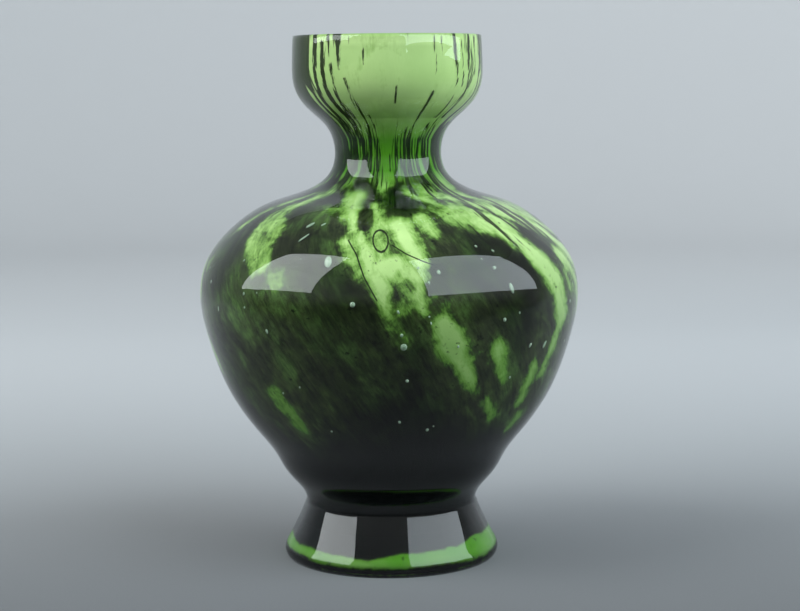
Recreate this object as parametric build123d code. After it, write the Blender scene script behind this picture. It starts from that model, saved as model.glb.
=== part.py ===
from build123d import *

import os
from math import cos, radians, sin

# Footed vase of hand blown cased glass, in millimetres.
#
# The wall is three gathers of glass fused face to face: an opaline lining, a thin colour
# layer in which dark glass was rolled over green, and a thick clear casing. The foot is
# blown hollow with the body, so the cavity runs down through the ankle to the floor.
# Origin: centre of the bearing ring on the standing plane. +Z: the axis, towards the rim.

# ---- driving dimensions ----
HEIGHT = 250.0
RIM_R = 44.8
CUP_R = 45.2
NECK_R, NECK_Z = 25.2, 195.3
BELLY_R, BELLY_Z = 90.4, 127.0
ANKLE_R, ANKLE_Z = 40.9, 28.2
TOE_R, TOE_Z = 52.3, 4.6

# Wall layers at the belly. The glass was blown thinner towards the rim.
CASING_T = 2.6
COLOUR_T = 0.5
LINING_T = 2.0
FOOT_SHARE, RIM_SHARE = 1.12, 0.80

# How far down the foot the inner side of each layer runs before it rounds into its floor,
# from 0 at the ankle to 1 at the toe
CASING_END, COLOUR_END, LINING_END = 0.95, 0.93, 0.78

# Foot and rim details
FLOOR_T = 2.4
TOE_MIDDLE = (51.8, 1.3)
BEARING_R = 49.6
RECESS_R, RECESS_DEPTH, RECESS_SLOPE = 37.0, 0.8, 4.0
RIM_ROUND = 0.8
MOUTH_ROUND = 0.6

# Where the colour layer changes from one kind of glass to the next
NECK_EDGE_Z = 177.5
BAND_EDGE_Z, BAND_TILT_DEG = 10.2, 2.6

# Outside outline, rim to ankle, as (radius, height)
BODY = [
    (RIM_R, HEIGHT - RIM_ROUND),
    (CUP_R, 237.0),
    (43.6, 223.6),
    (37.2, 215.0),
    (28.6, 206.6),
    (NECK_R, NECK_Z),
    (27.5, 185.6),
    (35.6, 178.7),
    (56.5, 171.4),
    (77.4, 157.4),
    (87.9, 142.5),
    (BELLY_R, BELLY_Z),
    (86.3, 105.5),
    (77.4, 82.0),
    (64.7, 63.0),
    (55.0, 50.0),
    (52.2, 44.6),
    (46.2, 37.2),
    (42.3, 32.4),
    (ANKLE_R, ANKLE_Z),
]
# Outside outline of the foot, ankle to toe
FOOT = [(ANKLE_R, ANKLE_Z), (45.7, 16.4), (TOE_R, TOE_Z)]

# Dark threads drawn up the neck and cup: azimuth in degrees from the front, top, bottom, width
THREADS = [
    (-31, 249, 236, 3.6),
    (-26, 228, 182, 2.4),
    (-46, 246, 181, 2.8),
    (-57, 249, 180, 6.0),
    (-70, 249, 182, 5.0),
    (-38, 232, 184, 1.6),
    (-16, 213, 179, 1.8),
    (-8, 205, 180, 1.4),
    (2, 209, 181, 1.1),
    (11, 207, 180, 1.5),
    (20, 211, 179, 1.6),
    (31, 224, 181, 1.4),
    (34, 247, 232, 1.2),
    (45, 248, 190, 2.6),
    (54, 244, 184, 1.8),
    (63, 249, 206, 2.2),
    (74, 246, 181, 1.6),
    (-84, 247, 190, 2.2),
    (84, 238, 180, 2.6),
]
THREAD_START_R = 20.5

# Uneven threads round the half that faces away: how many, the first azimuth and the step
BACK_THREADS, BACK_FROM, BACK_STEP = 15, 97.0, 11.4
BACK_TOP, BACK_BOTTOM = (227.0, 249.0), (180.0, 192.0)
BACK_WIDTH = (1.1, 3.3)

# Green windows in the dark marbling: azimuth, height, length, width, lean (degrees,
# positive when the top leans to the right seen from outside)
WINDOWS = [
    (-46, 155, 30, 17, 10),
    (-4, 150, 46, 22, -32),
    (22, 105, 50, 17, -38),
    (62, 144, 44, 17, -18),
    (37, 99, 20, 7, -12),
    (50, 88, 22, 6, 20),
    (-31, 82, 15, 5, -38),
    (-48, 122, 22, 8, -20),
    (98, 128, 42, 15, -30),
    (131, 105, 40, 14, -36),
    (152, 148, 36, 18, -25),
    (-172, 96, 34, 12, -35),
    (-140, 140, 46, 20, -30),
    (-108, 112, 38, 13, -35),
    (-88, 150, 26, 12, -12),
]
WINDOW_REACH = 14.0


def share(height):
    """Wall thickness at a height, as a share of the thickness at the belly."""
    return FOOT_SHARE + (RIM_SHARE - FOOT_SHARE) * height / HEIGHT


def spot(radius, height):
    """A point of an outline, which lies in the XZ plane."""
    return Vector(radius, 0, height)


def outer_body():
    return Spline([spot(*s) for s in BODY])


def outer_foot():
    return Spline([spot(*s) for s in FOOT])


def moved_in(curve, t, depth):
    """The point at t along an outside curve, moved into the glass square to it."""
    place, along = curve @ t, curve % t
    inward = Vector(along.Z, 0, -along.X)
    return place + inward * depth * share(place.Z)


def inner_curve(depth, floor, wall_end, mouth=0.0):
    """Outline at a depth in the wall, rim to axis: the side, the rounded corner and the floor.

    wall_end is how far down the foot the side runs before the corner, from 0 to 1, and
    mouth is the radius that eases the edge at the rim.
    """
    body, foot = outer_body(), outer_foot()
    side = [moved_in(body, body.param_at_point(spot(*s)), depth) for s in BODY[:-1]]
    side[0] = Vector(side[0].X, 0, HEIGHT - mouth)
    side.append(spot(ANKLE_R - depth * share(ANKLE_Z), ANKLE_Z))
    side += [moved_in(foot, wall_end * part, depth) for part in (0.6, 1.0)]
    wall = Spline(side)
    end, along = wall @ 1, wall % 1
    radius = (end.Z - floor) / (1 + along.X)
    corner = TangentArc(end, spot(end.X + along.Z * radius, floor), tangent=along)
    outline = [wall, corner, Line(corner @ 1, spot(0, floor))]
    if mouth:
        lip_start = spot(side[0].X + mouth, HEIGHT)
        outline.insert(0, TangentArc(lip_start, side[0], tangent=(-1, 0, 0)))
    return outline


def turned(edges):
    """Solid of revolution about the axis from a closed outline in the XZ plane."""
    return revolve(make_face(Wire(edges)), Axis.Z)


def between(outer, inner):
    """Layer of glass between two outlines that both run from the rim to the axis."""
    rim = Line(outer[0] @ 0, inner[0] @ 0)
    axis = Line(outer[-1] @ 1, inner[-1] @ 1)
    return turned([*outer, *inner, rim, axis])


def outside():
    """The outside outline, from the flat of the rim to the axis under the recessed base."""
    body, foot = outer_body(), outer_foot()
    lip = TangentArc(spot(RIM_R - RIM_ROUND, HEIGHT), spot(*BODY[0]), tangent=(1, 0, 0))
    toe = ThreePointArc(spot(*FOOT[-1]), spot(*TOE_MIDDLE), spot(BEARING_R, 0))
    ring = Line(spot(BEARING_R, 0), spot(RECESS_R, 0))
    slope = Line(ring @ 1, spot(RECESS_R - RECESS_SLOPE, RECESS_DEPTH))
    recess = Line(slope @ 1, spot(0, RECESS_DEPTH))
    return [lip, body, foot, toe, ring, slope, recess]


def cutting_plane(azimuth, height, radius, rise=0.0):
    """Plane square to the wall at a place, its x along the wall and its y up it."""
    a, up = radians(azimuth), radians(rise)
    out = Vector(sin(a) * cos(up), -cos(a) * cos(up), sin(up))
    origin = Vector(sin(a) * radius, -cos(a) * radius, height)
    return Plane(origin=origin, x_dir=(cos(a), sin(a), 0), z_dir=out)


def thread_cutter(azimuth, top, bottom, width):
    """A sliver, pointed at both ends, that reaches out through the neck and cup wall."""
    half = (top - bottom) / 2
    left = ThreePointArc((0, half), (-width / 2, 0), (0, -half))
    right = ThreePointArc((0, -half), (width / 2, 0), (0, half))
    plane = cutting_plane(azimuth, (top + bottom) / 2, THREAD_START_R)
    return extrude(plane * make_face([left, right]), CUP_R - THREAD_START_R)


def window_cutter(outline, azimuth, height, length, width, lean):
    """An ellipse driven square through the wall."""
    radius, rise = wall_at(outline, height)
    plane = cutting_plane(azimuth, height, radius, rise)
    shape = plane * (Rot(Z=-lean) * Ellipse(width / 2, length / 2))
    return extrude(shape, WINDOW_REACH, both=True)


def wall_at(curve, height):
    """Radius of a body curve at a height, and how far its outward normal rises, in degrees."""
    low, high = 0.0, 1.0
    for _ in range(40):
        middle = (low + high) / 2
        if (curve @ middle).Z > height:
            low = middle
        else:
            high = middle
    along = curve % low
    rise = Vector(-along.Z, 0, along.X).get_angle(Vector(1, 0, 0))
    return (curve @ low).X, rise if along.X > 0 else -rise


def level(height, tilt=0.0):
    """Plane across the vase at a height, higher to the right by its tilt in degrees."""
    return Plane(Pos(0, 0, height) * Rot(Y=-tilt))


def above(layer, plane):
    return split(layer, bisect_by=plane, keep=Keep.TOP)


def below(layer, plane):
    return split(layer, bisect_by=plane, keep=Keep.BOTTOM)


def uneven(span, phase):
    """A value within a span, which swings from one end to the other with the phase."""
    low, high = span
    return low + (high - low) * (1 + sin(phase)) / 2


def back_threads():
    return [
        (
            BACK_FROM + i * BACK_STEP,
            uneven(BACK_TOP, 2.4 * i),
            uneven(BACK_BOTTOM, 1.7 * i),
            uneven(BACK_WIDTH, 3.1 * i),
        )
        for i in range(BACK_THREADS)
    ]


def build():
    wall_t, floor_t = CASING_T + COLOUR_T, FLOOR_T + COLOUR_T
    outer = outside()
    under_casing = inner_curve(CASING_T, FLOOR_T, CASING_END)
    under_colour = inner_curve(wall_t, floor_t, COLOUR_END)
    cavity = inner_curve(wall_t + LINING_T, floor_t + LINING_T, LINING_END, MOUTH_ROUND)

    casing = between(outer, under_casing)
    colour = between(under_casing, under_colour)
    lining = between(under_colour, cavity)

    neck_edge, ankle = level(NECK_EDGE_Z), level(ANKLE_Z)
    band_edge = level(BAND_EDGE_Z, BAND_TILT_DEG)
    neck_zone = above(colour, neck_edge)
    belly_zone = above(below(colour, neck_edge), ankle)
    foot_zone = below(colour, ankle)

    threads = Compound([thread_cutter(*row) for row in THREADS + back_threads()])
    windows = Compound([window_cutter(under_casing[0], *row) for row in WINDOWS])
    return {
        "clear_casing": casing,
        "opaline_lining": lining,
        "neck_green_ground": neck_zone - threads,
        "neck_dark_threads": neck_zone & threads,
        "belly_dark_marbling": belly_zone - windows,
        "belly_green_windows": belly_zone & windows,
        "foot_dark_band": above(foot_zone, band_edge),
        "foot_green_band": below(foot_zone, band_edge),
    }


os.makedirs("parts", exist_ok=True)
for name, shape in build().items():
    export_step(shape, f"parts/{name}.step")
    print(name, len(shape.solids()), round(shape.volume / 1000, 2), "cm3")
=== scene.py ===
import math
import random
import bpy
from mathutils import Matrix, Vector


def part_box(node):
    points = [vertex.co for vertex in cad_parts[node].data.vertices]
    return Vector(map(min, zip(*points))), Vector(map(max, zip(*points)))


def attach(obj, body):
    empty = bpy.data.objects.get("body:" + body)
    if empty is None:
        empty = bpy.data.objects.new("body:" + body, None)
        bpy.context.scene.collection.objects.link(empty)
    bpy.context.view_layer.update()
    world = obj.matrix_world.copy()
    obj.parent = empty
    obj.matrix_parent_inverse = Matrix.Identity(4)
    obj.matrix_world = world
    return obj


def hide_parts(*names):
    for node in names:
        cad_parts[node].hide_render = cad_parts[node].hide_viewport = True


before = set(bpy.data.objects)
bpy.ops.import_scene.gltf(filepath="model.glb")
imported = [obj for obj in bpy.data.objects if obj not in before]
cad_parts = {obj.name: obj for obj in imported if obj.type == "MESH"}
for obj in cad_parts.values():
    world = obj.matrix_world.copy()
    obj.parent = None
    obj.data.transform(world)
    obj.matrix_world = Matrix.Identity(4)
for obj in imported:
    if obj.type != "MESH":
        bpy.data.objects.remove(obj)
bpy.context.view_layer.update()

# Looks of a hand blown cased glass vase, built round its imported CAD frame.
#
# The clear casing is real glass with air bubbles in it. Under it lies the colour layer, whose
# marbling is laid out round the vase and broken up by noise, and inside that the
# opaline lining. Angles are in degrees round the vase from the front (-Y), positive to the
# right as seen from the front. Heights and other sizes are in millimetres unless named _M.
# A course is a list of (angle, height) places on the wall.

from types import SimpleNamespace

import bpy
import numpy as np
from mathutils import Euler, Quaternion, Vector, noise

MM = 0.001

# ---- camera, as it stood before the vase ----
CAMERA_PLACE_M = (0.0051, -0.8793, 0.2343)
CAMERA_PITCH, CAMERA_ROLL = -7.34, -0.49
CAMERA_LENS, CAMERA_SENSOR = 82.9, 36
CAMERA_NEAR_M = 0.05

# ---- studio: a round floor that sweeps up into a wall ----
STAGE_R_M, SWEEP_R_M, WALL_TOP_M = 2.5, 0.9, 2.3
FLOOR_R_M, FLOOR_STEPS = 1.5, 5
STAGE_SIDES, SWEEP_STEPS = 96, 16
# The board's grey pales between these places, front to back and floor upwards
PALE_FROM_Y_M, PALE_TO_Y_M, PALE_TO_Z_M = -0.45, 0.75, 0.9

# ---- lamps: the line each stands on, as its near and far end on the floor ----
LEFT_WINDOW_M = (-0.60, -0.59), (-1.56, 0.20)
RIGHT_WINDOW_M = (0.32, -0.79), (1.80, 0.23)
BACK_WASH_M = (1.7, 0.8), (0.2, 0.8)
LEFT_SKY, RIGHT_SKY, WARM_WHITE = (0.92, 0.98, 1.0), (0.82, 0.93, 1.0), (1.0, 0.99, 0.97)
# Name, line, bottom, top, radiance, colour, and whether it faces away from the vase
LAMPS = [
    ("window_left", LEFT_WINDOW_M, 0.36, 2.05, 4.7, LEFT_SKY, False),
    ("window_right", RIGHT_WINDOW_M, 0.33, 1.95, 3.7, RIGHT_SKY, False),
    ("wall_wash", BACK_WASH_M, 1.1, 2.0, 2.6, WARM_WHITE, True),
    ("left_wall_wash", LEFT_WINDOW_M, 0.2, 2.0, 2.6, WARM_WHITE, True),
    ("right_wall_wash", RIGHT_WINDOW_M, 0.2, 2.0, 2.6, WARM_WHITE, True),
]
AIR, AIR_STRENGTH = (0.93, 0.97, 1.0), 0.28
OVERHEAD_R_M, OVERHEAD_Z_M, OVERHEAD_RADIANCE = 1.7, 2.3, 0.14

# ---- meshes ----
SIDES, LAYER_SIDES = 256, 336
OUTER_RINGS, LAYER_RINGS, LAYER_BACK_RINGS = 160, 160, 40
LINING_RINGS, CAVITY_RINGS = 80, 150
# Height of the slices in which a node's outline is read
BIN = 0.9
# A face belongs to an outline when it looks at least this much towards or away from the axis
MIN_FACING = 0.14

# Underside of the casing, recessed inside its bearing ring, from the axis outwards
BASE = [(0, 0.8), (12, 0.8), (29, 0.8), (33, 0.75), (37, 0.0), (38, 0.0)]

# The colour layer laps into the casing, so that no gap shows between them. Its back and the
# lining stand in from the surface where they meet, and their floors stand above it.
LAP = 0.06
LAYER_BACK_IN, LINING_IN = 0.02, 0.05
LAYER_FLOOR_UP, LINING_FLOOR_UP = 0.05, 0.02

# Free-hand waviness of the glass, which dies away at the foot and the rim
OUTER_WAVE, INNER_WAVE = 0.16, 0.10
OUTER_SEED, INNER_SEED = 3.1, 8.6
WAVE_SIZE, WAVE_SQUASH = 34.0, 0.8
WAVE_FROM, WAVE_TO, WAVE_FADE = 3.0, 246.0, 6.0

# ---- the marbling ----
# Farther than any distance on the wall, and a place short of the end of a line
FAR, SHORT = 1e3, -1.0
# Clearness of the dark sheet: nothing but dark glass, the green of the neck, the clearest green
BLACK, NECK_GREEN, GREEN = -9.0, 6.5, 9.0
# Clearness gained per mm inside a ribbon, and at its outline
EDGE_SLOPE, EDGE_LIFT = 1.5, 0.4
# Half-width of the soft edge of a dark place, and how clouds and haze fall away from their middle
DARK_SOFT, CLOUD_FALL, HAZE_DECAY = 1.2, 2.6, 1.5
# The sheet thickens to black low on the belly, and no haze lies there
LOW_BELLY_Z, LOW_BELLY_REACH, LOW_BELLY_DEPTH = 76, 22, 7
HAZE_FROM_Z, HAZE_REACH = 52, 20
# Edges of the sheet round the vase: height, waves as (number, phase, height), bumps as
# (angle, spread, height)
NECK_EDGE = 180.5, [(5, 0, 2.5), (11, 40, 2.0)], [(-16, 8, 5.0), (-1, 9, -3.0)]
FOOT_EDGE = 9.2, [(1, 0, 3.2), (7, 0, 0.5), (13, 70, 0.4)], [(-76, 34, 3.4)]
TOE_EDGE = 4.0, [(4, 20, 0.5)], []
# Clearness gained per mm from each of these edges, and inwards from the edge of the underside
NECK_SLOPE, FOOT_SLOPE, TOE_SLOPE, UNDERSIDE_SLOPE = 1.5, 6.0, 5.0, 3.0
UNDERSIDE_R = 44.0
# The grain of the glass leans with the twist of the blowpipe below a height, and is pulled
# together towards the front of the neck: (height, pull)
TWIST_Z, TWIST_REACH, TWIST = 166.0, 110.0, 0.48
PULL = [(180, 0.27), (200, 0.45), (235, 0.0)]
DRIFT_LENGTH = 100
# From the pale (0) to the deep (1) kind of green: (height, tint). Mostly the glass's own tone, but
# the underside of the cup, from about 211 to 222, is set pale as painted light, standing in for
# light glowing through the glass where it faces down into shade. Lines at the rim as
# (height, spread, change)
TINTS_AND_GLOW = [
    (0, 0.95),
    (14, 0.95),
    (60, 0.9),
    (110, 0.65),
    (160, 0.15),
    (176, 0.5),
    (186, 1.0),
    (202, 1.0),
    (211, 0.66),
    (219, 0.26),
    (229, 0.22),
    (238, 0.22),
    (250, 0.2),
]
RIM_LINES = [(249.4, 0.9, 0.8), (247.0, 1.0, -0.5)]
# Parts of the vase: the height each begins at, and how far on it counts in full, downwards if
# below 0
UPPER, CUP, SHOULDER, UNDER_NECK, BELLY = (176, 8), (204, 12), (142, 12), (178, -8), (150, -16)
# How thickly fine dark streaks lie, over an even share: bumps as (angle, spread, amount)
STREAK_SHARE, NECK_SHARE = -0.05, 0.12
UPPER_STREAKS = [(-78, 24, 0.27), (72, 22, 0.14), (160, 50, 0.10)]
CUP_STREAKS = [(-70, 14, 0.22), (6, 38, -0.42)]
NECK_STREAKS = [(-2, 8, -0.20)]
SHOULDER_STREAKS = [(56, 30, 0.07)]
SHOULDER_FRONT = [(-8, 36, -0.5)]
BELLY_SHARE = -1.5

# Green places in the dark sheet: course, half-width at the start and the end, and how clear
# it gets, from BLACK to GREEN
RIBBONS = [
    ([(-55, 166), (-50, 159)], 6.0, 10.0, 3.0),
    ([(-50, 159), (-44, 147)], 10.0, 6.0, 3.0),
    ([(-54, 169), (-52, 173), (-46, 177)], 3.2, 2.4, 6),
    ([(-66, 170), (-60, 176)], 1.8, 1.4, 4),
    ([(-72, 160), (-68, 168)], 2.0, 1.6, 3),
    ([(-22, 175), (-17, 170), (-13, 163)], 5.0, 4.4, 9),
    ([(-7, 172), (-3, 165)], 2.8, 2.8, 7),
    ([(-14, 158), (-11, 151), (-8, 144)], 2.8, 1.2, 7),
    ([(-10, 161), (-7, 155), (-5, 146), (-2, 140)], 3.0, 5.4, 9),
    ([(-2, 140), (-1, 133), (0, 127)], 4.2, 1.2, 6),
    ([(-1, 148), (3, 148), (8, 143)], 7.0, 6.4, 9),
    ([(8, 143), (9, 137), (10, 129)], 6.4, 1.6, 9),
    ([(4, 164), (7, 156), (10, 150)], 6.2, 5.0, 8),
    ([(14, 167), (16, 161)], 4.0, 3.0, 4),
    ([(-3, 164), (-2, 153)], 5.0, 4.0, 2.5),
    ([(-14, 165), (-12, 158)], 3.0, 3.0, 1.0),
    ([(6, 149), (6, 140), (5, 132)], 5.0, 3.0, 1.5),
    ([(12, 144), (12, 136), (16, 127)], 3.0, 4.0, 0.2),
    ([(16, 124), (18, 117)], 5.0, 7.4, 9),
    ([(18, 117), (21, 108), (26, 98)], 7.4, 4.2, 9),
    ([(26, 98), (29, 90)], 4.0, 1.0, 8),
    ([(34, 86), (40, 78)], 2.9, 2.0, 3),
    ([(34, 111), (36, 101), (39, 94)], 4.8, 0.9, 7),
    ([(27, 112), (30, 104)], 2.5, 2.0, -1),
    ([(-41, 89), (-37, 81), (-34, 73)], 4.8, 2.6, 1.6),
    ([(52, 99), (51, 84)], 4.4, 3.0, 6),
    ([(55, 76), (52, 67)], 3.2, 2.0, 4),
    ([(-2, 128), (4, 116)], 3.0, 2.0, -1.5),
    ([(11, 178), (22, 174), (31, 169), (40, 161)], 1.8, 3.0, 5),
    ([(24, 178), (42, 173), (60, 166), (76, 154), (88, 138)], 3.4, 7.0, 8),
    ([(50, 176), (70, 168), (84, 156)], 3.0, 5.0, 7),
    ([(37, 168), (46, 158), (54, 146), (60, 132), (63, 121)], 3.6, 6.4, 9),
    ([(46, 160), (54, 150), (60, 138)], 5.0, 6.4, 9),
    ([(62, 122), (61, 108), (58, 94)], 3.6, 2.0, 4),
    ([(62, 156), (72, 146), (80, 132), (86, 112)], 3.5, 5.0, 6),
    ([(52, 168), (61, 161), (67, 150), (71, 136)], 3.0, 4.4, 6),
    # round the sides and the back
    ([(97, 172), (104, 162), (110, 150)], 4.0, 7.0, 8),
    ([(106, 152), (114, 140), (120, 128), (124, 116)], 7.0, 4.5, 9),
    ([(118, 151), (125, 141)], 2.6, 3.0, 5),
    ([(133, 173), (138, 164)], 3.0, 5.0, 6),
    ([(136, 158), (145, 148), (153, 136)], 5.0, 9.0, 9),
    ([(150, 140), (158, 126), (163, 112)], 7.0, 3.5, 7),
    ([(130, 112), (134, 100)], 4.0, 2.0, 3),
    ([(160, 100), (166, 88), (169, 80)], 4.5, 2.0, 3),
    ([(172, 174), (176, 166)], 3.0, 4.5, 7),
    ([(178, 163), (184, 152), (189, 140)], 6.0, 8.0, 9),
    ([(186, 146), (194, 132), (199, 120)], 6.0, 4.0, 8),
    ([(203, 158), (207, 148)], 3.0, 4.0, 5),
    ([(206, 128), (212, 116), (219, 102)], 5.0, 8.0, 8),
    ([(222, 168), (228, 158), (236, 148)], 4.0, 8.0, 9),
    ([(232, 152), (240, 138), (246, 124)], 8.0, 5.0, 8),
    ([(243, 120), (249, 106)], 4.0, 2.5, 4),
    ([(222, 96), (228, 84)], 4.0, 2.0, 2.5),
    ([(256, 172), (262, 163)], 3.0, 5.0, 6),
    ([(262, 158), (270, 146), (277, 132)], 5.0, 8.0, 9),
    ([(272, 124), (280, 108), (286, 96)], 6.0, 3.0, 6),
]
# Dark places in the green: course, half-width at the start and the end, depth
DARKS = [
    ([(-10, 169), (-9, 164)], 2.4, 2.4, 12),
    ([(-81, 174), (-80, 150)], 6.0, 6.0, 8),
    ([(4, 146), (7, 141)], 3.0, 3.0, 3.5),
    ([(57, 160), (66, 148), (72, 134)], 1.0, 0.8, 9),
    ([(42, 170), (56, 163), (68, 152)], 0.9, 0.8, 9),
    ([(48, 156), (56, 144), (59, 134)], 0.8, 0.6, 5),
    ([(108, 152), (116, 139), (120, 128)], 1.2, 0.8, 8),
    ([(143, 151), (152, 138)], 1.4, 0.8, 7),
    ([(182, 160), (188, 147), (194, 134)], 1.4, 0.9, 8),
    ([(210, 124), (216, 112)], 1.2, 1.0, 7),
    ([(228, 160), (236, 144), (242, 132)], 1.6, 1.0, 8),
    ([(266, 154), (273, 140)], 1.3, 1.0, 7),
]
# Broad clouds where the dark sheet is thin: angle, height, half-length, half-width, clearness
CLOUDS = [
    (-36, 141, 17, 14, -1.2),
    (-12, 157, 20, 18, -2.4),
    (2, 146, 22, 16, -1.8),
    (15, 134, 18, 13, -1.2),
    (25, 112, 24, 17, -2.8),
    (-33, 79, 17, 8, -2.4),
    (-4, 121, 13, 8, -3.2),
    (-30, 170, 10, 20, -2.4),
    (56, 167, 22, 52, 6.0),
    (-64, 168, 10, 26, -2.5),
    (52, 90, 24, 12, -2.8),
    (110, 140, 34, 20, -1.8),
    (152, 130, 36, 20, -1.8),
    (190, 146, 34, 22, -1.6),
    (214, 110, 30, 20, -2.0),
    (236, 146, 36, 22, -1.6),
    (272, 138, 36, 20, -2.0),
    (180, 168, 12, 60, -1.2),
]
# Smooth olive haze in the dark sheet, which hides no detail: angle, height, half-length,
# half-width, strength
HAZES = [
    (-42, 128, 54, 46, 0.66),
    (-34, 98, 44, 44, 0.58),
    (-36, 79, 20, 11, 0.90),
    (-6, 112, 34, 30, 0.42),
    (14, 134, 24, 18, 0.90),
    (24, 112, 30, 26, 0.70),
    (34, 92, 26, 24, 0.55),
    (34, 132, 34, 26, 0.20),
    (6, 154, 22, 30, 0.80),
    (-20, 166, 14, 30, 0.55),
    (54, 100, 40, 16, 0.75),
    (72, 120, 60, 20, 0.60),
    (112, 118, 54, 34, 0.85),
    (150, 150, 34, 44, 0.8),
    (168, 108, 50, 34, 0.8),
    (196, 150, 34, 40, 0.85),
    (226, 112, 50, 36, 0.8),
    (250, 150, 34, 40, 0.8),
    (280, 120, 50, 30, 0.75),
]
# Dark threads on the cup and neck: course, width at the start and the end
THREADS = [
    ([(-31, 251), (-29, 234)], 4.6, 0.4),
    ([(-26, 230), (-20, 214), (-13, 200), (-11, 186)], 1.6, 2.0),
    ([(-42, 246), (-41, 226), (-30, 206), (-25, 186)], 2.6, 2.2),
    ([(-36, 237), (-33, 222), (-26, 208)], 1.2, 1.8),
    ([(-49, 250), (-47, 222), (-37, 200), (-33, 184)], 3.0, 2.0),
    ([(-56, 247), (-54, 226), (-44, 206), (-38, 190)], 2.4, 1.6),
    ([(-63, 250), (-61, 224), (-52, 204), (-44, 186)], 4.0, 2.4),
    ([(-38, 249), (-37, 240)], 2.0, 0.6),
    ([(-16, 214), (-10, 203), (-8, 192)], 0.7, 1.0),
    ([(-19, 203), (-17, 184)], 1.4, 1.8),
    ([(-14, 243), (-13.5, 236)], 0.8, 0.3),
    ([(9, 241), (9.5, 237)], 0.7, 0.3),
    ([(12.5, 250), (13, 245)], 0.9, 0.3),
    ([(6, 227), (5, 219)], 0.7, 0.3),
    ([(30, 248), (31.5, 231)], 1.0, 0.5),
    ([(35, 248), (36.5, 231)], 1.1, 0.5),
    ([(30, 224), (26, 213), (22, 204)], 0.8, 0.9),
    ([(44, 251), (48, 226), (45, 214), (36, 202), (30, 188)], 1.5, 1.4),
    ([(51, 247), (53, 226)], 1.5, 0.8),
    ([(59, 249), (58, 222), (48, 206), (42, 186)], 1.8, 1.4),
    ([(66, 248), (66, 230)], 1.6, 0.9),
    ([(75, 249), (72, 224), (60, 204)], 1.6, 1.4),
    ([(8, 207), (9, 194)], 0.8, 1.0),
    ([(14, 211), (13, 190)], 0.8, 1.3),
    ([(19, 206), (18, 184)], 1.2, 1.6),
    ([(3, 199), (3, 184)], 0.5, 1.0),
    ([(24, 200), (24, 182)], 1.0, 2.0),
]
# The larger air bubbles: angle, height, length, width, lean to the left at the top
BUBBLES = [
    (-31, 165.5, 4.6, 1.7, -35),
    (-25.5, 166, 2.6, 1.2, -40),
    (-30.5, 160.5, 6.0, 1.1, -35),
    (-18.5, 151, 5.8, 3.4, 8),
    (38, 137.5, 4.8, 2.1, 14),
    (4.3, 113.7, 3.2, 3.0, 0),
    (3.7, 119.2, 1.6, 1.5, 0),
    (54.5, 109, 4.0, 1.7, -24),
    (47, 110, 2.4, 1.5, -24),
    (35, 123.7, 1.9, 1.7, 0),
    (33.5, 147, 1.8, 1.8, 0),
    (30, 156.4, 1.4, 1.2, 30),
    (35.5, 154, 1.6, 1.2, 40),
    (15, 146.5, 2.2, 1.6, 0),
    (-10, 133, 2.4, 2.4, 0),
    (-46.5, 135, 1.6, 1.2, -10),
    (-60, 126, 2.4, 0.9, 10),
    (5.5, 98, 1.6, 1.5, 0),
    (3.4, 78, 1.5, 1.2, 20),
    (13.5, 73.5, 1.7, 1.4, 0),
]
# The outline of a flat blister, painted dark on the colour layer as painted shade for the dark rim its
# edge shows by refraction; no blister is modelled: angle, height, length, width, lean
BLISTER = (-2.5, 158.5, 13.0, 6.6, 6)
# Dark hairlines that run from it and beside it
HAIRLINES = [
    [(-14, 159), (-10, 153), (-7, 144), (-3, 134)],
    [(1, 157), (6, 153), (11, 150), (15, 148)],
]
# Half-width of the hairlines and of the blister's outline
FINE_LINE = 0.34

# Small ragged patches round the sides and the back
PATCHES, PATCH_SEED = 54, 11
PATCH_ZONE, PATCH_HEIGHTS, PATCH_MODE = (94.0, 278.0), (80.0, 173.0), 142
PATCH_DROPS, PATCH_STARTS, PATCH_ENDS, PATCH_PEAKS = (5, 15), (1.5, 4.0), (0.8, 2.6), (-2.5, 4.5)
# Degrees that a patch turns to the right for each mm it drops
PATCH_LEAN = 0.6

# Small bubbles strewn all round
SEEDS, SEEDS_SEED = 70, 7
SEED_ZONE, SEED_MODE = (60.0, 168.0), 140
SEED_WIDTHS, SEED_STRETCHES, SEED_LEANS = (0.5, 1.3), (1.0, 1.7), (-30, 30)
BUBBLE_RINGS, BUBBLE_SIDES = 9, 14
# Thickness of a bubble as a share of its width, and at most
BUBBLE_SHARE, BUBBLE_THICKEST = 0.42, 0.88
BUBBLE_DEPTHS = (1.2, 1.3, 1.4)
# The wall's slope at a bubble is read this far above and below it
LEAN_STEP = 2.0


# ================= outlines read from the frame =================


def side_of(node, outward):
    """(radius, height) rows, foot to rim, of a node's outward (1) or inward (-1) facing side."""
    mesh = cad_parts[node].data
    corners = np.empty(len(mesh.vertices) * 3)
    mesh.vertices.foreach_get("co", corners)
    corners = corners.reshape(-1, 3) / MM
    loops = np.empty(len(mesh.loops), dtype=int)
    mesh.loops.foreach_get("vertex_index", loops)
    faces = loops.reshape(-1, 3)
    a, b, c = (corners[faces[:, k]] for k in range(3))
    normal = np.cross(b - a, c - a)
    middle = (a + b + c) / 3
    facing = (normal[:, :2] * middle[:, :2]).sum(1)
    facing /= np.linalg.norm(normal, axis=1) * np.hypot(middle[:, 0], middle[:, 1]) + 1e-12
    used = np.unique(faces[facing * outward > MIN_FACING])
    radius, height = np.hypot(corners[used, 0], corners[used, 1]), corners[used, 2]
    rows = []
    for low in np.arange(height.min(), height.max() + BIN, BIN):
        inside = (height >= low) & (height < low + BIN)
        if inside.any():
            rows.append((radius[inside].mean(), height[inside].mean()))
    return np.array(rows)


def along(rows):
    """Length along an outline at each of its rows."""
    return np.concatenate([[0], np.cumsum(np.hypot(*np.diff(rows, axis=0).T))])


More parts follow.
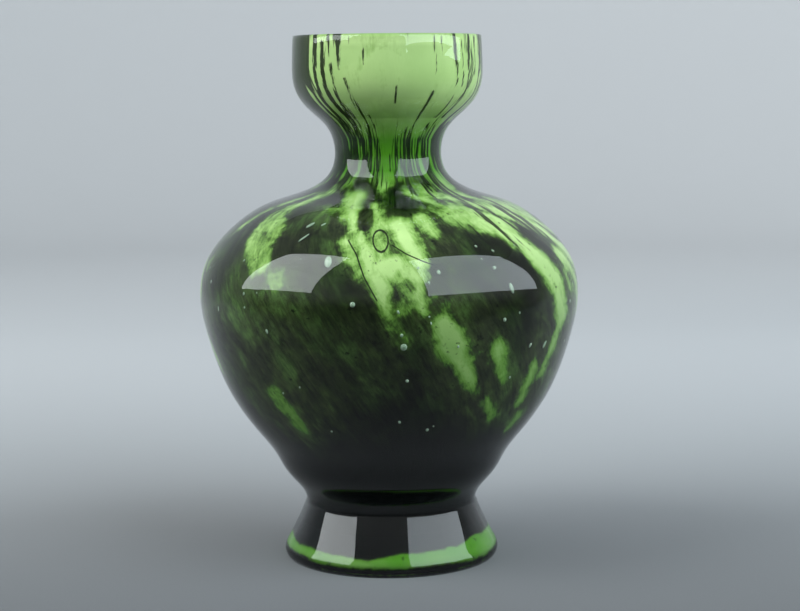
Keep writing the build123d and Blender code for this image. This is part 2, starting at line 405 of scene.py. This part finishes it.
def evened(rows, count, crease=None):
    """The outline resampled at even steps along its length, with its small steps smoothed.

    An outline with a crease is smoothed on either side of it, so that it stays sharp.
    """
    if crease is not None:
        at = int(np.abs(rows[:, 1] - crease).argmin())
        below = round(count * along(rows)[at] / along(rows)[-1])
        return np.vstack([evened(rows[: at + 1], below), evened(rows[at:], count - below)[1:]])
    for _ in range(2):
        length = along(rows)
        steps = np.linspace(0, length[-1], count)
        rows = np.column_stack([np.interp(steps, length, rows[:, k]) for k in (0, 1)])
        rows[1:-1] = (rows[:-2] + 2 * rows[1:-1] + rows[2:]) / 4
    return rows


def on_wall(outline, height):
    """Radius and length along the outline at a height."""
    order = np.argsort(outline[:, 1])
    length = along(outline)
    return (
        np.interp(height, outline[order, 1], outline[order, 0]),
        np.interp(height, outline[order, 1], length[order]),
    )


CREASE_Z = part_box("foot_dark_band")[1][2] / MM
CASING_OUTER = side_of("clear_casing", 1)
CASING_INNER = side_of("clear_casing", -1)
LINING_OUTER = side_of("opaline_lining", 1)
CAVITY = side_of("opaline_lining", -1)


# ================= meshes =================


def mesh_object(name, points, faces):
    mesh = bpy.data.meshes.new(name)
    mesh.from_pydata([tuple(p) for p in points], [], faces)
    mesh.validate()
    mesh.update()
    mesh.shade_smooth()
    piece = bpy.data.objects.new(name, mesh)
    bpy.context.scene.collection.objects.link(piece)
    return piece


def lathed(rows, sides):
    """Points and faces of a closed solid of revolution whose outline starts and ends on the axis.

    The rows run anticlockwise in the radius-height plane, so the faces look outwards.
    """
    turn = np.linspace(0, 2 * math.pi, sides, endpoint=False)
    points = [(0, 0, rows[0][1])]
    for radius, height in rows[1:-1]:
        ring = np.column_stack([radius * np.sin(turn), -radius * np.cos(turn), np.full(sides, height)])
        points.extend(ring)
    points.append((0, 0, rows[-1][1]))
    last = len(points) - 1
    faces = []
    for k in range(sides):
        n = (k + 1) % sides
        faces.append((0, 1 + n, 1 + k))
        for ring in range(len(rows) - 3):
            low, high = 1 + ring * sides, 1 + (ring + 1) * sides
            faces.append((low + k, low + n, high + n, high + k))
        top = 1 + (len(rows) - 3) * sides
        faces.append((top + k, top + n, last))
    return np.array(points, dtype=float), faces


def wave(point, seed):
    """Smooth noise from -1 to 1 at a point, drawn out round the vase as tool marks are."""
    x, y, z = point / WAVE_SIZE
    return noise.noise(Vector((x, y, z / WAVE_SQUASH + seed)))


def fade(height):
    """1 on the wall and 0 at its two ends."""
    from_foot, from_rim = height - WAVE_FROM, WAVE_TO - height
    return min(max(from_foot / WAVE_FADE, 0), 1) * min(max(from_rim / WAVE_FADE, 0), 1)


def rippled(points, depth, seed):
    """The points pushed in or out by the free-hand waviness of the wall."""
    for p in points:
        radius = math.hypot(p[0], p[1])
        if radius > 0:
            p[:2] *= 1 + depth * wave(p, seed) * fade(p[2]) / radius
    return points


# ================= the marbling, laid out on the colour layer =================


class Wall:
    """Where points lie on the wall, and how far they are from other places on it."""

    def __init__(self, outline, points):
        self.outline = outline
        self.from_axis = np.hypot(points[:, 0], points[:, 1])
        self.angle = np.degrees(np.arctan2(points[:, 0], -points[:, 1]))
        self.height = points[:, 2]
        self.radius, self.length = on_wall(outline, self.height)

    def turn(self, angle):
        """Degrees round the vase from an angle, between -180 and 180."""
        return (self.angle - angle + 180) % 360 - 180

    def across(self, angle):
        """Distance in mm round the wall from an angle."""
        return np.radians(self.turn(angle)) * self.radius

    def up(self, height):
        """Distance in mm up the wall from a height."""
        return self.length - on_wall(self.outline, height)[1]

    def bump(self, angle, spread, amount):
        """The amount at an angle, falling to 0 on both sides of it."""
        return amount * np.exp(-((self.turn(angle) / spread) ** 2))

    def bumps(self, rows):
        return sum(self.bump(*row) for row in rows)

    def rise(self, height, reach):
        """0 up to a height, 1 from its reach above it. A reach below 0 turns it upside down."""
        return ((self.height - height) / reach).clip(0, 1)

    def above_edge(self, height, waves, bumps):
        """Height in mm above an uneven edge round the vase."""
        swings = sum(rise * np.sin(np.radians(self.angle * times + phase)) for times, phase, rise in waves)
        return self.height - height - swings - self.bumps(bumps)

    def off_centre(self, angle, height, half_length, half_width):
        """0 in the middle of an oval place and 1 on its outline."""
        return np.hypot(self.across(angle) / half_width, self.up(height) / half_length)

    def spans(self, course):
        """How far points are along each span of a course and beside it, and the span's length."""
        lengths = [on_wall(self.outline, height)[1] for _, height in course]
        for i in range(len(course) - 1):
            x, y = self.across(course[i][0]), self.length - lengths[i]
            dx = math.radians(course[i + 1][0] - course[i][0]) * self.radius
            dy = lengths[i + 1] - lengths[i]
            run = np.hypot(dx, dy)
            yield (x * dx + y * dy) / run, (x * dy - y * dx) / run, run

    def depth_in(self, course, start, end):
        """Distance in mm inside the outline of a course that tapers between two half-widths."""
        best = np.full(self.angle.shape, -FAR)
        for i, (ahead, beside, run) in enumerate(self.spans(course)):
            gap = np.hypot(beside, ahead - ahead.clip(0, run))
            done = (i + (ahead / run).clip(0, 1)) / (len(course) - 1)
            best = np.maximum(best, start + (end - start) * done - gap)
        return best

    def off_line(self, course):
        """Distance beside a line, its sign telling the side, and distance past the line's ends."""
        nearest = np.full(self.angle.shape, FAR)
        offset, past = np.zeros(self.angle.shape), np.zeros(self.angle.shape)
        for i, (ahead, beside, run) in enumerate(self.spans(course)):
            gap = np.hypot(beside, ahead - ahead.clip(0, run))
            before = -ahead if i == 0 else SHORT
            after = ahead - run if i == len(course) - 2 else SHORT
            closer = gap < nearest
            nearest = np.where(closer, gap, nearest)
            offset = np.where(closer, beside, offset)
            past = np.where(closer, np.maximum(before, after), past)
        return offset, past


def patches():
    """Small ragged patches between the larger ribbons, drawn the same way as they are."""
    chance = random.Random(PATCH_SEED)
    rows = []
    for _ in range(PATCHES):
        angle = chance.uniform(*PATCH_ZONE)
        height = chance.triangular(*PATCH_HEIGHTS, PATCH_MODE)
        drop = chance.uniform(*PATCH_DROPS)
        course = [(angle, height), (angle + PATCH_LEAN * drop, height - drop)]
        start, end = chance.uniform(*PATCH_STARTS), chance.uniform(*PATCH_ENDS)
        rows.append((course, start, end, chance.uniform(*PATCH_PEAKS)))
    return rows


def clearness(wall):
    """How clear each point is of dark glass, from BLACK to GREEN."""
    clear = np.full(wall.angle.shape, BLACK)
    for course, start, end, peak in RIBBONS + patches():
        depth = wall.depth_in(course, start, end)
        clear = np.maximum(clear, np.minimum(depth * EDGE_SLOPE + EDGE_LIFT, peak))
    for *place, peak in CLOUDS:
        fall = wall.off_centre(*place).clip(0, 1) ** CLOUD_FALL
        clear = np.maximum(clear, peak - (peak - BLACK) * fall)
    for course, start, end, dark in DARKS:
        depth = wall.depth_in(course, start, end)
        clear -= dark * ((depth / DARK_SOFT + 1) / 2).clip(0, 1)
    clear -= LOW_BELLY_DEPTH * wall.rise(LOW_BELLY_Z, -LOW_BELLY_REACH)
    # the cup and neck have no dark sheet, and neither has the foot between its edge and the toe
    neck = (wall.above_edge(*NECK_EDGE) * NECK_SLOPE).clip(BLACK, NECK_GREEN)
    foot = (-wall.above_edge(*FOOT_EDGE) * FOOT_SLOPE).clip(BLACK, GREEN)
    toe = wall.above_edge(*TOE_EDGE) * TOE_SLOPE
    underside = (UNDERSIDE_R - wall.from_axis) * UNDERSIDE_SLOPE
    return np.minimum(np.maximum(np.maximum(clear, neck), foot), np.maximum(toe, underside))


def thread_depth(wall):
    """Distance in mm inside the nearest dark thread."""
    return np.max([wall.depth_in(course, start / 2, end / 2) for course, start, end in THREADS], axis=0)


def off_blister(wall):
    """Distance in mm outside the outline of the blister."""
    angle, height, length, width, lean = BLISTER
    x, y, tilt = wall.across(angle), wall.up(height), math.radians(lean)
    u, v = x * math.cos(tilt) + y * math.sin(tilt), y * math.cos(tilt) - x * math.sin(tilt)
    return (np.hypot(u / width, v / length) * 2 - 1) * width / 2


def haziness(wall):
    haze = np.zeros(wall.angle.shape)
    for *place, strength in HAZES:
        fall = wall.off_centre(*place) ** CLOUD_FALL
        haze = np.maximum(haze, strength * np.exp(-HAZE_DECAY * fall))
    return haze * wall.rise(HAZE_FROM_Z, HAZE_REACH)


def streak_bias(wall):
    """How thickly fine streaks lie: dense on the left of the cup, bare on its front."""
    upper, cup = wall.rise(*UPPER), wall.rise(*CUP)
    bias = STREAK_SHARE + wall.bumps(UPPER_STREAKS) + wall.bumps(CUP_STREAKS) * cup
    bias += (NECK_SHARE + wall.bumps(NECK_STREAKS)) * (1 - cup)
    shoulder = STREAK_SHARE + wall.bumps(SHOULDER_STREAKS) * wall.rise(*SHOULDER)
    front = wall.bumps(SHOULDER_FRONT) * wall.rise(*UNDER_NECK)
    return bias * upper + shoulder * (1 - upper) + front + BELLY_SHARE * wall.rise(*BELLY)


# Pale to deep green by height; the pale lift under the cup is painted light
def tints_and_glow(wall):
    tint_and_glow = np.interp(wall.height, *zip(*TINTS_AND_GLOW))
    for height, spread, change in RIM_LINES:
        tint_and_glow += change * np.exp(-(((wall.height - height) / spread) ** 2))
    return tint_and_glow


def drift(wall):
    """Coordinates that run with the grain of the glass: round the vase, and up it."""
    twisted = wall.angle - TWIST * (TWIST_Z - wall.height).clip(0, TWIST_REACH)
    pull = np.interp(wall.height, *zip(*PULL))
    lines = np.radians(twisted) + pull * np.sin(np.radians(wall.angle))
    return np.column_stack([np.cos(lines), np.sin(lines), wall.length / DRIFT_LENGTH])


def marbling(wall):
    """The fields that the colour layer's material reads, by name."""
    fields = {
        "clear": clearness(wall),
        "thread": thread_depth(wall),
        "blister": off_blister(wall),
        "haze": haziness(wall),
        "bias": streak_bias(wall),
        "tint_and_glow": tints_and_glow(wall),
        "drift": drift(wall),
    }
    for k, course in enumerate(HAIRLINES):
        fields[f"hairline_{k}"], fields[f"hairline_{k}_past"] = wall.off_line(course)
    return fields


def add_field(mesh, name, values):
    kind, part = ("FLOAT_VECTOR", "vector") if values.ndim == 2 else ("FLOAT", "value")
    layer = mesh.attributes.new(name, kind, "POINT")
    layer.data.foreach_set(part, values.astype(np.float32).ravel())


# ================= pieces =================


def bubble(angle, height, long, wide, lean, depth):
    """Points and faces of an air bubble in the casing, its faces looking into the bubble."""
    a, tilt = math.radians(angle), math.radians(lean)
    out, side = Vector((math.sin(a), -math.cos(a), 0)), Vector((math.cos(a), math.sin(a), 0))
    steps = (0, LEAN_STEP, -LEAN_STEP)
    radius, above, below = (on_wall(CASING_OUTER, height + step)[0] for step in steps)
    up = (out * (above - below) + Vector((0, 0, 2 * LEAN_STEP))).normalized()
    normal = side.cross(up)
    long_way = (up * math.cos(tilt) - side * math.sin(tilt)) * long / 2
    wide_way = (up * math.sin(tilt) + side * math.cos(tilt)) * wide / 2
    thick_way = normal * min(BUBBLE_SHARE * wide, BUBBLE_THICKEST)
    centre = out * radius + Vector((0, 0, height)) - normal * depth
    points = [centre + long_way]
    for r in range(1, BUBBLE_RINGS):
        t = math.pi * r / BUBBLE_RINGS
        for k in range(BUBBLE_SIDES):
            s = 2 * math.pi * k / BUBBLE_SIDES
            offset = wide_way * math.cos(s) + thick_way * math.sin(s)
            points.append(centre + long_way * math.cos(t) + offset * math.sin(t))
    points.append(centre - long_way)
    faces = []
    top = 1 + (BUBBLE_RINGS - 2) * BUBBLE_SIDES
    for k in range(BUBBLE_SIDES):
        n = (k + 1) % BUBBLE_SIDES
        faces.append((0, 1 + k, 1 + n))
        for low in range(1, top, BUBBLE_SIDES):
            high = low + BUBBLE_SIDES
            faces.append((low + k, high + k, high + n, low + n))
        faces.append((top + k, len(points) - 1, top + n))
    return points, faces


def seeds():
    """Small bubbles strewn through the casing, more of them where the wall was worked."""
    chance = random.Random(SEEDS_SEED)
    rows = []
    for _ in range(SEEDS):
        width = chance.uniform(*SEED_WIDTHS)
        rows.append((
            chance.uniform(-180, 180),
            chance.triangular(*SEED_ZONE, SEED_MODE),
            width * chance.uniform(*SEED_STRETCHES),
            width,
            chance.uniform(*SEED_LEANS),
        ))
    return rows


def casing():
    outer = evened(CASING_OUTER, OUTER_RINGS, CREASE_Z)
    inner = evened(CASING_INNER, LAYER_RINGS)[::-1]
    floor = inner[-1][1]
    rows = [*BASE, *outer, *inner, (inner[-1][0] / 2, floor), (0, floor)]
    points, faces = lathed(rows, SIDES)
    outside = 1 + (len(BASE) - 1 + len(outer)) * SIDES
    rippled(points[:outside], OUTER_WAVE, OUTER_SEED)
    rippled(points[outside:], INNER_WAVE, INNER_SEED)
    wall_faces = len(faces)
    for k, row in enumerate(BUBBLES + seeds()):
        start = len(points)
        skin_points, skin_faces = bubble(*row, BUBBLE_DEPTHS[k % len(BUBBLE_DEPTHS)])
        points = np.vstack([points, skin_points])
        faces.extend(tuple(start + i for i in face) for face in skin_faces)
    piece = mesh_object("blown_casing", points * MM, faces)
    piece.data.materials.append(casing_glass())
    # the bubbles' faces take a pale painted reflection
    piece.data.materials.append(bubble_glint_skin())
    skins = [int(i >= wall_faces) for i in range(len(piece.data.polygons))]
    piece.data.polygons.foreach_set("material_index", skins)
    return piece


def cup_shape(outer, inner, low, high, sides):
    """Rippled points and faces of a layer between two outlines, its floor between two heights."""
    beneath, inside = outer[0][0] / 2, inner[-1][0] / 2
    points, faces = lathed([(0, low), (beneath, low), *outer, *inner, (inside, high), (0, high)], sides)
    return rippled(points, INNER_WAVE, INNER_SEED), faces


def colour_layer():
    outer = evened(CASING_INNER, LAYER_RINGS) + (LAP, 0)
    inner = evened(LINING_OUTER, LAYER_BACK_RINGS)[::-1] - (LAYER_BACK_IN, 0)
    low, high = outer[0][1] - LAP, inner[-1][1] + LAYER_FLOOR_UP
    points, faces = cup_shape(outer, inner, low, high, LAYER_SIDES)
    piece = mesh_object("marbled_layer", points * MM, faces)
    for name, values in marbling(Wall(outer, points)).items():
        add_field(piece.data, name, values)
    piece.data.materials.append(marbled_glass())
    return piece


def lining():
    outer = evened(LINING_OUTER, LINING_RINGS) - (LINING_IN, 0)
    inner = evened(CAVITY, CAVITY_RINGS)[::-1]
    low, high = outer[0][1] + LINING_FLOOR_UP, inner[-1][1]
    points, faces = cup_shape(outer, inner, low, high, SIDES)
    piece = mesh_object("blown_lining", points * MM, faces)
    piece.data.materials.append(opaline())
    return piece


# ================= materials =================

# Colour ramps as (place, display colour)
PALE_GREENS = [
    (0.00, (4, 6, 6)),
    (0.21, (15, 20, 13)),
    (0.34, (34, 44, 24)),
    (0.45, (62, 84, 38)),
    (0.56, (108, 143, 68)),
    (0.71, (156, 192, 106)),
    (0.93, (204, 232, 154)),
]
DEEP_GREENS = [
    (0.00, (3, 6, 5)),
    (0.21, (12, 18, 9)),
    (0.36, (28, 43, 15)),
    (0.50, (52, 88, 22)),
    (0.68, (74, 128, 30)),
    (0.93, (77, 138, 31)),
]
SMOKE = [(0.34, (52, 60, 38)), (0.54, (64, 80, 42)), (0.76, (84, 116, 56))]
DARK_MARK_TONES = [(0.30, (5, 8, 6)), (0.58, (13, 18, 12)), (0.80, (44, 54, 38))]
# Pale colours of the bubbles' insides, a painted reflection of bright surroundings
BUBBLE_GLINT_WHITES = [(0.25, (150, 184, 150)), (0.75, (206, 226, 200))]
OPALINE = [
    (0.05, (96, 140, 62)),
    (0.55, (134, 182, 92)),
    (0.85, (160, 204, 118)),
    (1.00, (178, 218, 140)),
]
BOARD = [(0.0, (72, 74, 76)), (0.5, (150, 152, 154)), (1.0, (186, 188, 190))]

# Clearness from the darkest to the clearest glass, and how much of the noise is lost per unit
# of it, so that broad dark and green places stay whole
CLEAR_SPAN, NOISE_LOSS = 14, 0.065
# How fast a fine line fades per mm from its outline, and beyond its ends
LINE_FADE, END_FADE = 5.0, 1.5
# Dark specks fade out at the foot of the neck
PEPPER_TOP_M, PEPPER_FADE_M = 0.178, 0.005
PEPPER_FROM, PEPPER_SLOPE = 0.13, 9.0
STREAK_SLOPE, THREAD_SLOPE = 9.0, 2.2
# Share of the ground that dark marks hide
DARK_COVER = 0.94


def srgb(*parts):
    """Linear colour from 0 to 255 display values."""
    return tuple((p / 255 / 12.92) if p <= 10 else ((p / 255 + 0.055) / 1.055) ** 2.4 for p in parts)


class Tree:
    """A material's nodes, made with short calls."""

    def __init__(self, name):
        self.material = bpy.data.materials.new(name)
        self.material.use_nodes = True
        self.nodes = self.material.node_tree.nodes
        self.links = self.material.node_tree.links
        self.nodes.clear()

    def feed(self, socket, value):
        if isinstance(value, bpy.types.NodeSocket):
            self.links.new(value, socket)
        else:
            socket.default_value = value

    def add(self, kind, inputs=None, **settings):
        node = self.nodes.new(kind)
        for key, value in settings.items():
            setattr(node, key, value)
        for key, value in (inputs or {}).items():
            self.feed(node.inputs[key], value)
        return node

    def math(self, operation, a, b=0.0, c=0.0, clamp=False):
        node = self.add("ShaderNodeMath", {0: a, 1: b, 2: c}, operation=operation, use_clamp=clamp)
        return node.outputs[0]

    def total(self, *parts, base=0.0, clamp=False):
        """The base and the (weight, value) parts added up."""
        for k, (weight, value) in enumerate(parts):
            last = k == len(parts) - 1
            base = self.math("MULTIPLY_ADD", value, weight, base, clamp=clamp and last)
        return base

    def place(self):
        return self.add("ShaderNodeTexCoord").outputs["Object"]

    def parts(self, vector):
        return self.add("ShaderNodeSeparateXYZ", {0: vector}).outputs

    def field(self, name, output="Fac"):
        """A field that the colour layer's mesh carries."""
        return self.add("ShaderNodeAttribute", attribute_name=name).outputs[output]

    def noise(self, vector, scale, detail, roughness, distortion=0.0):
        """Noise centred on 0."""
        node = self.add("ShaderNodeTexNoise", {
            "Vector": vector,
            "Scale": scale,
            "Detail": detail,
            "Roughness": roughness,
            "Distortion": distortion,
        })
        return self.math("SUBTRACT", node.outputs["Fac"], 0.5)

    def drawn_out(self, vector, share):
        """The vector with its upright part cut to a share, which draws noise out along it."""
        return self.add("ShaderNodeMapping", {"Vector": vector, "Scale": (1, 1, share)}).outputs[0]

    def fine_line(self, offset):
        """1 on a line where the offset passes 0, and 0 beside it."""
        beside = self.math("ABSOLUTE", offset)
        return self.total((-LINE_FADE, beside), base=LINE_FADE * FINE_LINE + 0.5, clamp=True)

    def eased(self, value, low, high):
        """0 up to one value and 1 from another, eased in between."""
        inputs = {"Value": value, "From Min": low, "From Max": high}
        return self.add("ShaderNodeMapRange", inputs, interpolation_type="SMOOTHSTEP").outputs[0]

    def bump(self, height, strength, distance):
        inputs = {"Height": height, "Strength": strength, "Distance": distance}
        return self.add("ShaderNodeBump", inputs).outputs[0]

    def ramp(self, value, stops):
        node = self.add("ShaderNodeValToRGB", {"Fac": value})
        band = node.color_ramp
        while len(band.elements) < len(stops):
            band.elements.new(0.5)
        for element, (place, colour) in zip(band.elements, stops):
            element.position = place
            element.color = (*srgb(*colour), 1)
        return node.outputs[0]

    def mix(self, factor, a, b, blend="MIX"):
        node = self.add("ShaderNodeMix", data_type="RGBA", blend_type=blend)
        for index, value in ((0, factor), (6, a), (7, b)):
            self.feed(node.inputs[index], value)
        return node.outputs[2]

    def surface(self, inputs):
        return self.add("ShaderNodeBsdfPrincipled", inputs).outputs[0]

    def out(self, shader):
        self.add("ShaderNodeOutputMaterial", {"Surface": shader})
        return self.material


def casing_glass():
    """Clear crystal, faintly wiped and corded. Rays from lamps pass straight through it."""
    t = Tree("casing_glass")
    place = t.place()
    cords = t.noise(t.drawn_out(place, 0.35), scale=60, detail=2, roughness=0.5)
    smears = t.noise(t.drawn_out(place, 0.5), scale=24, detail=5, roughness=0.6, distortion=0.8)
    glass = t.surface({
        "Base Color": (0.965, 0.992, 0.975, 1),
        "Roughness": t.total((0.02, smears), base=0.006, clamp=True),
        "IOR": 1.52,
        "Transmission Weight": 1.0,
        "Normal": t.bump(cords, strength=0.06, distance=0.001),
    })
    clear = t.add("ShaderNodeBsdfTransparent", {"Color": (0.93, 0.96, 0.94, 1)}).outputs[0]
    path = t.add("ShaderNodeLightPath").outputs
    lamps = t.math("MAXIMUM", path["Is Shadow Ray"], path["Is Diffuse Ray"])
    return t.out(t.add("ShaderNodeMixShader", {0: lamps, 1: glass, 2: clear}).outputs[0])


def bubble_glint_skin():
    """The inside of an air bubble, painted a pale mottled white: a painted reflection of the bright
    surroundings that a bubble mirrors.
    """
    t = Tree("bubble_glint_skin")
    glint_mottle = t.noise(t.place(), scale=700, detail=3, roughness=0.6)
    skin = t.surface({
        "Base Color": t.ramp(t.total((1, glint_mottle), base=0.5), BUBBLE_GLINT_WHITES),
        "Roughness": 0.22,
        "IOR": 1.5,
        "Transmission Weight": 0.45,
    })
    return t.out(skin)


def layer_noises(t):
    """Noises of the colour layer, still in the glass or running with its drift, and its height."""
    place, drift = t.place(), t.field("drift", "Vector")
    return SimpleNamespace(
        billows=t.noise(place, scale=42, detail=4, roughness=0.55, distortion=0.4),
        blots=t.noise(place, scale=120, detail=5, roughness=0.65, distortion=0.6),
        specks=t.noise(place, scale=330, detail=3, roughness=0.6),
        dabs=t.noise(t.drawn_out(drift, 0.6), scale=10, detail=5, roughness=0.62, distortion=0.4),
        smears=t.noise(t.drawn_out(drift, 0.28), scale=19, detail=4, roughness=0.65, distortion=0.2),
        flecks=t.noise(t.drawn_out(drift, 0.45), scale=52, detail=4, roughness=0.75),
        hairs=t.noise(t.drawn_out(drift, 0.22), scale=21, detail=4, roughness=0.6, distortion=0.2),
        wisps=t.noise(t.drawn_out(drift, 0.3), scale=8, detail=3, roughness=0.55, distortion=0.3),
        height=t.parts(place)[2],
    )


def marbled_ground(t, n):
    """The green glass and the dark sheet in it, with ragged edges and smoky haze."""
    laid = t.field("clear")
    ragged = t.total((15, n.billows), (14, n.blots), (8, n.dabs), (5, n.smears), (7, n.flecks))
    kept = t.total((-NOISE_LOSS, t.math("ABSOLUTE", laid)), base=1.0, clamp=True)
    clear = t.math("MULTIPLY_ADD", ragged, kept, laid)
    share = t.total((1 / CLEAR_SPAN, clear), base=0.5, clamp=True)
    # The tint also lifts the cup's underside to pale green as painted light
    tint_and_glow = t.total((0.5, n.billows), base=t.field("tint_and_glow"), clamp=True)
    greens = t.mix(tint_and_glow, t.ramp(share, PALE_GREENS), t.ramp(share, DEEP_GREENS))
    grain = t.total((1.8, n.blots), (2.4, n.flecks), (1.3, n.dabs), (1.3, n.smears), base=1.05)
    haze = t.math("MULTIPLY", grain, t.field("haze"), clamp=True)
    smoke = t.ramp(t.total((1.4, n.billows), (1, n.dabs), base=0.5), SMOKE)
    return t.mix(haze, greens, smoke, blend="LIGHTEN")


def dark_lines(t):
    """The blister's outline, painted dark as painted shade, and the hairlines."""
    lines = t.fine_line(t.field("blister"))
    for k in range(len(HAIRLINES)):
        within = t.math("MULTIPLY", t.field(f"hairline_{k}_past"), -END_FADE, clamp=True)
        line = t.math("MULTIPLY", t.fine_line(t.field(f"hairline_{k}")), within)
        lines = t.math("MAXIMUM", lines, line)
    return lines


def dark_marks(t, n):
    """Streaks drawn up the neck and over the shoulder, threads, fine lines and specks."""
    streak = t.total((1, n.hairs), (1.1, n.wisps), base=t.field("bias"))
    streak = t.math("MULTIPLY", streak, STREAK_SLOPE, clamp=True)
    thread = t.total((5, n.hairs), (1.8, n.flecks), base=t.field("thread"))
    thread = t.total((THREAD_SLOPE, thread), base=0.4, clamp=True)
    pepper = t.math("SUBTRACT", n.specks, PEPPER_FROM)
    pepper = t.math("MULTIPLY", pepper, PEPPER_SLOPE, clamp=True)
    below_neck = t.total((-1 / PEPPER_FADE_M, n.height), base=PEPPER_TOP_M / PEPPER_FADE_M, clamp=True)
    pepper = t.math("MULTIPLY", pepper, below_neck)
    drawn = t.math("MAXIMUM", streak, thread)
    return t.math("MAXIMUM", drawn, t.math("MAXIMUM", dark_lines(t), pepper))


def marbled_glass():
    """Green and near-black colour glass: marbling with ragged, streaked edges."""
    t = Tree("marbled_glass")
    n = layer_noises(t)
    dark = t.math("MULTIPLY", dark_marks(t, n), DARK_COVER)
    # Colour of the dark marks, among them the blister's painted shade outline
    dark_mark_tone = t.ramp(t.total((1, n.wisps), base=0.5), DARK_MARK_TONES)
    glass = t.surface({
        "Base Color": t.mix(dark, marbled_ground(t, n), dark_mark_tone),
        "Roughness": t.total((0.3, n.dabs), base=0.42, clamp=True),
        "Specular IOR Level": 0.0,
        "Normal": t.bump(n.flecks, strength=0.25, distance=0.0004),
    })
    return t.out(glass)


def opaline():
    """Milky green lining, clouded and finely lined, and palest at the rim."""
    t = Tree("opaline_lining")
    place = t.place()
    clouds = t.noise(t.drawn_out(place, 0.45), scale=22, detail=4, roughness=0.6, distortion=0.6)
    lines = t.noise(t.drawn_out(place, 0.08), scale=150, detail=3, roughness=0.6)
    share = t.total((4, t.parts(place)[2]), (0.45, clouds), (0.16, lines), clamp=True)
    glass = t.surface({
        "Base Color": t.ramp(share, OPALINE),
        "Roughness": t.total((0.08, clouds), base=0.11, clamp=True),
        "IOR": 1.5,
        "Coat Weight": 0.4,
        "Coat Roughness": 0.04,
        "Normal": t.bump(clouds, strength=0.12, distance=0.001),
    })
    return t.out(glass)


def stage_paint():
    """Matt studio board with a faint tooth, graduated from soft grey in front to pale behind."""
    t = Tree("studio_board")
    place = t.place()
    tooth = t.noise(place, scale=900, detail=4, roughness=0.6)
    back = t.eased(t.parts(place)[1], PALE_FROM_Y_M, PALE_TO_Y_M)
    wall = t.eased(t.parts(place)[2], 0.0, PALE_TO_Z_M)
    share = t.total((0.05, tooth), base=t.math("MAXIMUM", back, wall))
    board = t.surface({
        "Base Color": t.ramp(share, BOARD),
        "Roughness": 0.85,
        "Specular IOR Level": 0.1,
    })
    return t.out(board)


# ================= stage, lights and camera =================


def stage():
    """A round studio: a pale floor that sweeps up all round into a pale wall."""
    profile = [(FLOOR_R_M * k / FLOOR_STEPS, 0.0) for k in range(1, FLOOR_STEPS + 1)]
    for k in range(SWEEP_STEPS + 1):
        a = math.pi / 2 * k / SWEEP_STEPS
        profile.append((STAGE_R_M - SWEEP_R_M * (1 - math.sin(a)), SWEEP_R_M * (1 - math.cos(a))))
    profile.append((STAGE_R_M, WALL_TOP_M))
    points = [(0, 0, 0)]
    for radius, height in profile:
        for k in range(STAGE_SIDES):
            a = 2 * math.pi * k / STAGE_SIDES
            points.append((radius * math.cos(a), radius * math.sin(a), height))
    faces = []
    for k in range(STAGE_SIDES):
        n = (k + 1) % STAGE_SIDES
        faces.append((0, 1 + k, 1 + n))
        for ring in range(len(profile) - 1):
            low, high = 1 + ring * STAGE_SIDES, 1 + (ring + 1) * STAGE_SIDES
            faces.append((low + k, high + k, high + n, low + n))
    sweep = mesh_object("studio_sweep", points, faces)
    sweep.data.materials.append(stage_paint())


def lamp_at(lamp, place):
    """An object that holds a lamp and that the camera does not see."""
    holder = bpy.data.objects.new(lamp.name, lamp)
    holder.location = place
    holder.visible_camera = False
    bpy.context.scene.collection.objects.link(holder)
    return holder


def softbox(name, line, bottom, top, radiance, colour, away):
    """A soft lamp standing upright over a line on the floor, facing the vase or away from it."""
    near, far = (Vector(end) for end in line)
    width, height = (far - near).length, top - bottom
    middle = (near + far) / 2
    facing = Vector((-(far - near).y, (far - near).x))
    if (facing.dot(middle) > 0) != away:
        facing = -facing
    lamp = bpy.data.lights.new(name, "AREA")
    lamp.shape, lamp.size, lamp.size_y = "RECTANGLE", width, height
    lamp.energy, lamp.color = radiance * math.pi * width * height, colour
    holder = lamp_at(lamp, (*middle, (bottom + top) / 2))
    holder.rotation_mode = "QUATERNION"
    holder.rotation_quaternion = Vector((*-facing, 0)).to_track_quat("Z", "Y")


def overhead():
    """A dim round lamp above the vase, which is not mirrored in the glass."""
    lamp = bpy.data.lights.new("overhead", "AREA")
    lamp.shape, lamp.size = "DISK", 2 * OVERHEAD_R_M
    lamp.energy = OVERHEAD_RADIANCE * math.pi * math.pi * OVERHEAD_R_M ** 2
    lamp_at(lamp, (0, 0, OVERHEAD_Z_M)).visible_glossy = False


def air():
    """Faint light from all round."""
    world = bpy.data.worlds.new("studio_air")
    world.use_nodes = True
    background = world.node_tree.nodes["Background"]
    background.inputs["Color"].default_value = (*AIR, 1)
    background.inputs["Strength"].default_value = AIR_STRENGTH
    bpy.context.scene.world = world


def camera():
    lens = bpy.data.cameras.new("camera")
    lens.lens, lens.sensor_width = CAMERA_LENS, CAMERA_SENSOR
    lens.clip_start = CAMERA_NEAR_M
    eye = bpy.data.objects.new("camera", lens)
    eye.location = CAMERA_PLACE_M
    aim = Euler((math.radians(90 + CAMERA_PITCH), 0, 0)).to_quaternion()
    eye.rotation_mode = "QUATERNION"
    eye.rotation_quaternion = aim @ Quaternion((0, 0, 1), math.radians(CAMERA_ROLL))
    bpy.context.scene.collection.objects.link(eye)
    bpy.context.scene.camera = eye


# ================= the scene =================

camera()
stage()
for row in LAMPS:
    softbox(*row)
overhead()
air()
bpy.context.scene.view_settings.view_transform = "Standard"

CLEAR_NODES, LINING_NODES = ["clear_casing"], ["opaline_lining"]
COLOUR_NODES = [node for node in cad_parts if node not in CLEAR_NODES + LINING_NODES]
for piece, nodes, finish in (
    (casing(), CLEAR_NODES, "clear_casing"),
    (colour_layer(), COLOUR_NODES, "dark_glass"),
    (lining(), LINING_NODES, "opaline_lining"),
):
    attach(piece, "root")
    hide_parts(*nodes)
